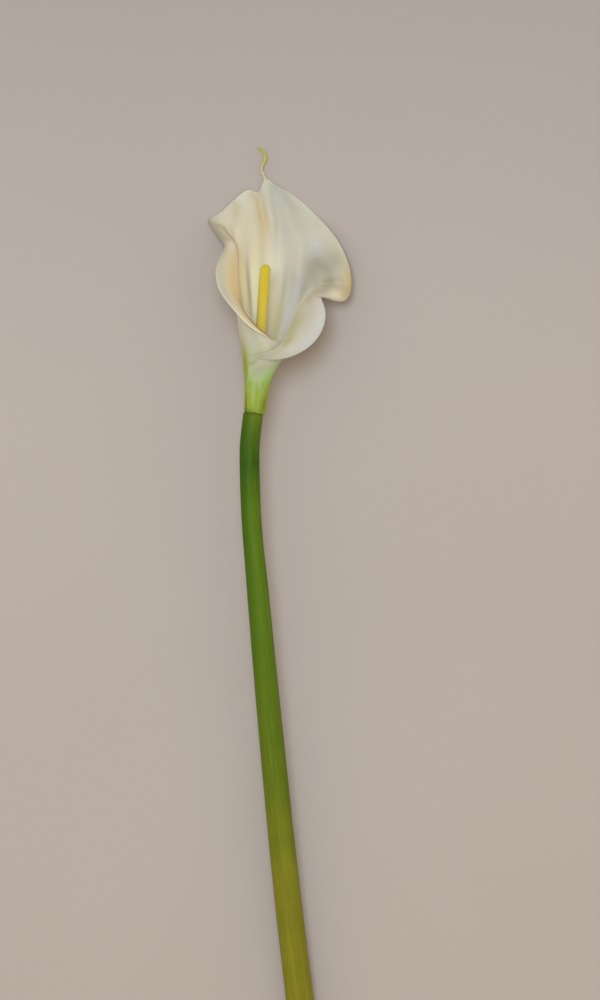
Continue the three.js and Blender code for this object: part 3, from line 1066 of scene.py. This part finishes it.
def make_tail_material():
    material, tree, shader = new_material("drying tail", Roughness=0.6)
    ribs = streaks(tree, 12, 9)
    colour = ramp(tree, uv_part(tree, "Y"), [
        (0.12, (218, 212, 180)), (0.42, (214, 202, 140)), (0.6, (206, 200, 72)),
        (0.95, (184, 180, 72)),
    ])
    colour = dappled(tree, colour, ribs["Streak"], 0.35, 0.7, 0.4, (156, 150, 66))
    tree.links.new(colour, shader.inputs["Base Color"])
    add_relief(tree, shader, ribs["Fine"], 0.5, 0.2)
    return material


TAIL_MATERIAL = make_tail_material()
print(TAIL_MATERIAL.name, "has", len(TAIL_MATERIAL.node_tree.nodes), "nodes")

# %% [markdown]
# Unlike the leaf, the tail is closed all round: it is a row of rings, each square to the
# line. The same grid makes it, when its first and last column meet. Their doubles are
# merged, and the open ends are filled. The stem and the spadix are made in this way too.

# %% Rings and closed tubes


def ring_point(middle, heading, turn, radius):
    """A point on a ring that is square to the heading; a turn of 0 is on its left."""
    left = Vector((0, 0, 1)).cross(heading).normalized()
    up = heading.cross(left)
    return middle + radius * (left * math.cos(turn) + up * math.sin(turn))


def close_tube(bm):
    """Joins the grid's two long sides, fills its two ends and turns its faces outwards."""
    bmesh.ops.remove_doubles(bm, verts=bm.verts, dist=0.01 * MM)
    caps = bmesh.ops.holes_fill(bm, edges=bm.edges)["faces"]
    bmesh.ops.recalc_face_normals(bm, faces=bm.faces)
    return caps


quarter = ring_point(Vector((0, 0, 0)), Vector((0, 1, 0)), math.pi / 2, 1)
print("a quarter turn along a ring leads to", [round(c, 3) for c in quarter])

# %% The tail
TAIL_CORNERS = (16, 72)  # round it and along it
TAIL_LOOK_AHEAD = 0.01  # how far before and behind a ring its heading is measured
TAIL_CLOSING = 1 / 30  # the share of its length in which its end rounds off
TAIL_BLUNT = 0.002  # keeps the last ring from shrinking to a point


def make_tail():
    radii = [(i / (len(TAIL) - 1), radius) for i, (_, radius) in enumerate(TAIL)]

    def place(u, v):
        ahead = tail_point(min(v + TAIL_LOOK_AHEAD, 1))
        heading = (ahead - tail_point(max(v - TAIL_LOOK_AHEAD, 0))).normalized()
        closing = math.sqrt(min((1 + TAIL_BLUNT - v) / TAIL_CLOSING, 1))
        return ring_point(tail_point(v), heading, 2 * math.pi * u, along(radii, v) * closing)

    bm, _ = grid_skin(*TAIL_CORNERS, place)
    close_tube(bm)
    return make_piece("spathe_tail", bm, [TAIL_MATERIAL])


tail = make_tail()
print("the tail thins from", TAIL[0][1], "to", TAIL[-1][1], "mm in radius")

# %% [markdown]
# ## The stem
#
# The stem is a smooth fleshy stalk. It leaves the flower level with it and sinks in one soft
# bend until its end lies on the table, where it is also thicker. Its narrow top, the plug
# that the flower sits on, is hidden in the spathe's tube. A stalk like this could be a curve
# with a bevel, but rings along a line give the cut edge and the plug in the same skin.

# %% The line of the stem
STEM_LENGTH = 440
STEM_SIDE = [  # how far the middle stands to the side, at distances below the joint
    (0, -0.4), (25, -2.7), (55, -2), (110, 2.5), (200, 10.8), (290, 20), (360, 28.4),
    (440, 38.5),
]
STEM_RADIUS = [
    (0, 6), (70, 6), (113, 6.6), (173, 7.2), (230, 7.65), (353, 8.4), (440, 8.7),
]


def stem_middle(below):
    """The middle of the stem at a distance below the joint."""
    drop = JOINT.z / MM - STEM_RADIUS[-1][1]
    return Vector((along(STEM_SIDE, below), -below, -drop * fade(0, STEM_LENGTH, below)))


print("the middle of the cut end:", [round(c, 1) for c in stem_middle(STEM_LENGTH)])

# %% [markdown]
# Its green is deep under the flower and turns yellow towards the cut end. The ribs are the
# streak group again, with fewer and longer streaks, in the colour as well as in the relief.

# %% The stem's material
STEM_GREENS = [  # from the cut end up to the flower
    (0.0, (148, 138, 44)),
    (0.2, (144, 132, 30)),
    (0.33, (144, 133, 34)),
    (0.5, (104, 119, 20)),
    (0.66, (92, 118, 20)),
    (0.78, (94, 122, 20)),
    (0.87, (88, 120, 12)),
    (0.93, (50, 88, 0)),
    (0.97, (76, 106, 12)),
    (1.0, (106, 122, 26)),
]


def make_stem_material():
    material, tree, shader = new_material(
        "green stem",
        Specular_IOR_Level=0.12,
        Subsurface_Weight=0.08,
        Subsurface_Radius=(0.4, 1.0, 0.2),
        Subsurface_Scale=0.002,
    )
    cut_end = JOINT.y - STEM_LENGTH * MM
    up_the_stem = evenly(tree, along_flower(tree), cut_end, JOINT.y)
    ribs = streaks(tree, 34, 6)
    cloud = mottling(tree, 40)["Cloud"]
    colour = ramp(tree, up_the_stem, STEM_GREENS)
    colour = dappled(tree, colour, ribs["Streak"], 0.3, 0.7, 0.3, (60, 92, 10))
    colour = dappled(tree, colour, ribs["Fine"], 0.45, 0.75, 0.22, (150, 160, 50))
    colour = dappled(tree, colour, cloud, 0.35, 0.75, 0.25, (74, 104, 14))
    # painted shade: the upper stem is darker on its left flank
    left_flank_shade = scaled(tree, side_of(tree), -0.3, 1, 0, 0.6)
    share = arithmetic(tree, "MULTIPLY", left_flank_shade, scaled(tree, up_the_stem, 0.45, 0.95))
    colour = blend_colours(tree, share, colour, (44, 84, 10))
    tree.links.new(colour, shader.inputs["Base Color"])
    tree.links.new(scaled(tree, cloud, 0.3, 0.7, 0.36, 0.5), shader.inputs["Roughness"])
    add_relief(tree, shader, ribs["Streak"], 0.3, 0.4)
    add_relief(tree, shader, ribs["Fine"], 0.2, 0.2)
    return material


STEM_MATERIAL = make_stem_material()
print(STEM_MATERIAL.name, "has", len(STEM_MATERIAL.node_tree.nodes), "nodes")

# %% [markdown]
# The cut end shows what the stalk is inside: pale, wet, spongy tissue with a green skin and
# small darker dots where its bundles of vessels were cut through. The dots are the centres
# of a cell pattern, and the green skin comes from the distance to the middle of the cut.

# %% The cut face's material
CUT_RINGS = [  # from the middle of the cut out to its skin
    (0.0, (206, 208, 150)),
    (0.78, (190, 200, 130)),
    (0.88, (128, 146, 60)),
    (1.0, (104, 122, 40)),
]


def make_cut_material():
    material, tree, shader = new_material("cut stem face", Roughness=0.5)
    place = node(tree, "TexCoord").outputs["Object"]
    middle = in_scene(stem_middle(STEM_LENGTH))
    from_middle = node(tree, "Mapping", Vector=place, Location=tuple(-c for c in middle))
    distance = node(tree, "VectorMath", {"operation": "LENGTH"})
    tree.links.new(from_middle.outputs[0], distance.inputs[0])
    outwards = evenly(tree, distance.outputs["Value"], 0, STEM_RADIUS[-1][1] * MM)
    cells = node(tree, "TexVoronoi", Vector=place, Scale=900.0).outputs["Distance"]
    dots = scaled(tree, cells, 0.16, 0.3, 0.6, 0)
    colour = blend_colours(tree, dots, ramp(tree, outwards, CUT_RINGS), (126, 138, 66))
    tree.links.new(colour, shader.inputs["Base Color"])
    add_relief(tree, shader, cells, 0.6, 0.3)
    return material


CUT_MATERIAL = make_cut_material()
print(CUT_MATERIAL.name, "has", len(CUT_MATERIAL.node_tree.nodes), "nodes")

# %% [markdown]
# The rings start at the cut, whose sharp edge is broken a little, and follow the line up to
# the flower. There the stem has a small shoulder for the tube to sit on, and the last rings
# make the plug inside it.

# %% The rings of the stem
STEM_CORNERS = 48  # round the stem
STEM_STEPS = 140  # along it, up to the shoulder
SEAT_GAP = 0.3
CUT_EDGE = 0.6
PLUG = {"radius": 3.4, "top": 3.1, "height": 18}
PLUG_RINGS = (0, 0.02, 0.5, 1)  # their places, as shares of the plug's height


def stem_rings():
    """The rings of the stem from the cut end to the top of the plug: middle, heading, radius."""
    rings = []
    for step in range(STEM_STEPS + 1):
        below = STEM_LENGTH + (SEAT_GAP - STEM_LENGTH) * step / STEM_STEPS
        ahead = stem_middle(max(below - 1, 0)) - stem_middle(min(below + 1, STEM_LENGTH))
        heading = ahead.normalized() if 0 < step < STEM_STEPS else Vector((0, 1, 0))
        rings.append((stem_middle(below), heading, along(STEM_RADIUS, below)))
    # the sharp edge of the cut is broken a little
    middle, heading, radius = rings[0]
    rings[0] = (middle + heading * CUT_EDGE, heading, radius)
    rings.insert(0, (middle, heading, radius - CUT_EDGE))
    foot = rings[-1][0]
    for share in PLUG_RINGS:
        height = PLUG["height"] * share
        radius = PLUG["radius"] + (PLUG["top"] - PLUG["radius"]) * share
        middle = Vector((along(FUNNEL_AXIS, height), max(height, foot.y), 0))
        rings.append((middle, heading, radius))
    return rings


STEM_RINGS = stem_rings()
print("rings along the stem:", len(STEM_RINGS))

# %% The stem


def make_stem():
    last = len(STEM_RINGS) - 1

    def place(u, v):
        middle, heading, radius = STEM_RINGS[round(v * last)]
        return ring_point(middle, heading, 2 * math.pi * u, radius)

    bm, _ = grid_skin(STEM_CORNERS, last, place)
    caps = close_tube(bm)
    cut_end = min(caps, key=lambda face: face.calc_center_median().y)
    cut_end.material_index = 1
    return make_piece("stem_stalk", bm, [STEM_MATERIAL, CUT_MATERIAL])


stem = make_stem()
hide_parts("stem")
print("the stem is", STEM_LENGTH, "mm long below the flower")

# %% [markdown]
# ## The spadix
#
# The spike carries its florets in slanting rows that wind round it, each floret set in the
# gap between two below it. Modelling every floret apart would cost a great many faces, and
# they are only a millimetre wide. So the skin of the spike is raised by a formula instead:
# the product of two waves, one round and one along, peaks in just that staggered way. How
# high each corner stands is painted on it as well, under the name of crown, so that the
# material can paint shade between the florets.

# %% The florets
FLORETS = {"around": 16, "pitch": 1.2, "rise": 0.16}


def floret_height(turn, climb):
    """0 between the florets and 1 on top of one, in rows that are staggered by half."""
    wave = math.cos(FLORETS["around"] * turn) * math.cos(math.pi * climb / FLORETS["pitch"])
    return 0.5 + 0.5 * wave


print("floret height on one and beside it:", floret_height(0, 0), round(floret_height(0.1, 0), 2))

# %% [markdown]
# A spadix has no shine. It is dusty with pollen, which a little sheen gives, and its yellow
# deepens from a pale foot to its tip.

# %% The spadix's material
SPADIX_YELLOWS = [  # from its foot to its tip
    (0.0, (216, 204, 122)),
    (0.4, (224, 198, 86)),
    (0.8, (222, 190, 36)),
    (1.0, (212, 192, 30)),
]


def make_spadix_material():
    material, tree, shader = new_material(
        "yellow spadix",
        Roughness=0.75,
        Specular_IOR_Level=0.15,
        Sheen_Weight=0.25,
        Sheen_Roughness=0.6,
        Sheen_Tint=(236, 226, 160),
        Subsurface_Weight=0.15,
        Subsurface_Radius=(1.0, 0.6, 0.1),
        Subsurface_Scale=0.0015,
    )
    foot, top = [JOINT.y + SPADIX[end] * MM for end in ("foot", "top")]
    colour = ramp(tree, evenly(tree, along_flower(tree), foot, top), SPADIX_YELLOWS)
    # painted shade between the florets, where the crown is low
    gaps = scaled(tree, painted_amount(tree, "crown"), 0.0, 0.5, 0.42, 0)
    colour = blend_colours(tree, gaps, colour, (176, 138, 26))
    grain = mottling(tree, 160)["Grain"]
    colour = dappled(tree, colour, grain, 0.5, 0.75, 0.5, (238, 216, 96))
    # painted shade: its two flanks are painted duller and greener
    sides = arithmetic(tree, "ABSOLUTE", side_of(tree))
    colour = dappled(tree, colour, sides, 0.2, 0.95, 0.7, (204, 200, 102))
    tree.links.new(colour, shader.inputs["Base Color"])
    add_relief(tree, shader, grain, 0.35, 0.2)
    return material


SPADIX_MATERIAL = make_spadix_material()
print(SPADIX_MATERIAL.name, "has", len(SPADIX_MATERIAL.node_tree.nodes), "nodes")

# %% [markdown]
# The spike's outline is a straight side and a quarter circle. Measured along that outline,
# the florets keep their spacing over the rounded tip too.

# %% The outline of the spadix
STRAIGHT = SPADIX["top"] - SPADIX["radius"] - SPADIX["foot"]
OUTLINE = STRAIGHT + SPADIX["radius"] * math.pi / 2


def climb_and_reach(v):
    """The height above the foot and the radius at a share of the outline's length."""
    run, radius = v * OUTLINE, SPADIX["radius"]
    if run <= STRAIGHT:
        return run, radius
    bend = (run - STRAIGHT) / radius
    return STRAIGHT + radius * math.sin(bend), radius * math.cos(bend)


print("outline of the spike, from its foot to its tip:", round(OUTLINE, 1), "mm")

# %% The spadix
SPADIX_CORNERS = (96, 210)  # round it and along it
SPADIX_LEAN = 1.15  # more than 1, so that it leans over a little more towards its tip
FLORET_FADE = 1.5  # the florets keep their full rise down to 1 / 1.5 of the full radius
SMALLEST_RING = 0.01


def spadix_place(u, v):
    """The place of one corner of the spadix, in millimetres from the joint."""
    turn = 2 * math.pi * u
    climb, reach = climb_and_reach(v)
    share = (climb / (SPADIX["top"] - SPADIX["foot"])) ** SPADIX_LEAN
    x = SPADIX["foot_x"] + (SPADIX["top_x"] - SPADIX["foot_x"]) * share
    rise = FLORETS["rise"] * min(reach / SPADIX["radius"] * FLORET_FADE, 1)
    dip = rise * (1 - floret_height(turn, v * OUTLINE))
    middle = Vector((x, SPADIX["foot"] + climb, 0))
    return ring_point(middle, Vector((0, 1, 0)), turn, max(reach - dip, SMALLEST_RING))


def make_spadix():
    bm, spots = grid_skin(*SPADIX_CORNERS, spadix_place, ("crown",))
    crown = bm.verts.layers.float["crown"]
    for vert, u, v in spots:
        vert[crown] = floret_height(2 * math.pi * u, v * OUTLINE)
    close_tube(bm)
    return make_piece("spadix_spike", bm, [SPADIX_MATERIAL])


spadix = make_spadix()
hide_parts("spadix")
print("the spike is", SPADIX["top"] - SPADIX["foot"], "mm tall")

# %% [markdown]
# ## The table
#
# The flower lies on a plain pale surface, wide enough to fill every view. Its colour is
# painted a little darker towards the far end, a painted fall-off of the light.

# %% The table
TABLE_REACH = 6  # metres from its middle to each edge
TABLE_FADE = (-0.04, 0.46)  # metres from the joint, along the flower


def make_table_material():
    material, tree, shader = new_material("pale table", Roughness=0.85)
    cloud = scaled(tree, mottling(tree, 3)["Cloud"], 0.3, 0.7)
    colour = blend_colours(tree, cloud, (188, 175, 166), (191, 178, 169))
    near, far = [JOINT.y + end for end in TABLE_FADE]
    # painted shade: darker towards the far end
    colour = dappled(tree, colour, along_flower(tree), near, far, 1, (163, 155, 149))
    tree.links.new(colour, shader.inputs["Base Color"])
    return material


table_bm = bmesh.new()
bmesh.ops.create_grid(table_bm, x_segments=1, y_segments=1, size=TABLE_REACH)
table = smooth_object("table_top", table_bm, [make_table_material()])
table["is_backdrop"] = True
print("the table is", 2 * TABLE_REACH, "m wide")

# %% [markdown]
# ## Light
#
# One big soft light stands high on the left, a little towards the tip, so that the folds of
# the blade turn from light to shade and the flower's shadow falls to its right. A dim even
# sky fills the shadows.

# %% The light and the sky
LIGHT_AIM = in_scene((20, 0, 0))
KEY_LIGHT = {"place": Vector((-0.2, 0.36, 1.78)), "size": 0.8, "watts": 18}
KEY_COLOUR = (0.66, 0.82, 1)
SKY = {"Color": (1, 0.89, 0.73, 1), "Strength": 0.64}

key_data = bpy.data.lights.new("key", "AREA")
key_data.shape = "DISK"
key_data.size = KEY_LIGHT["size"]
key_data.energy = KEY_LIGHT["watts"]
key_data.color = KEY_COLOUR
key = add_object("key", key_data)
key.location = LIGHT_AIM + KEY_LIGHT["place"]
key.rotation_euler = KEY_LIGHT["place"].to_track_quat("Z", "Y").to_euler()

world = bpy.data.worlds.new("studio")
world.use_nodes = True
for socket, value in SKY.items():
    world.node_tree.nodes["Background"].inputs[socket].default_value = value
bpy.context.scene.world = world
bpy.context.scene.view_settings.view_transform = "Standard"
print("the light stands", round(key.location.z, 2), "m over the table")

# %% [markdown]
# ## Camera
#
# The camera looks straight down on the flower, with the tip at the top of the view. A long
# lens from well above keeps the sides of the funnel from splaying outwards. The view is
# 600 mm tall at the flower's level and ends part of the way down the stem.

# %% Camera
VIEW_HEIGHT = 600  # mm of the flower that the height of the view takes in
VIEW_MIDDLE = (27.6, -52.8, 0)
CAMERA_DISTANCE = 6.0

camera_data = bpy.data.cameras.new("camera")
camera_data.lens = camera_data.sensor_width * CAMERA_DISTANCE / (VIEW_HEIGHT * MM)
camera = add_object("camera", camera_data)
camera.location = in_scene(VIEW_MIDDLE) + Vector((0, 0, CAMERA_DISTANCE))
bpy.context.scene.camera = camera
print("lens:", round(camera_data.lens), "mm")

# %% [markdown]
# ## Last look at the sizes
#
# The sizes of the finished pieces are printed beside those of the imported model.

# %% Sizes and finish
visual_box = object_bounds()
for low_or_high, before, after in zip(("low", "high"), CAD_BOX, visual_box):
    print(low_or_high, [round(c / MM, 2) for c in before], [round(c / MM, 2) for c in after])
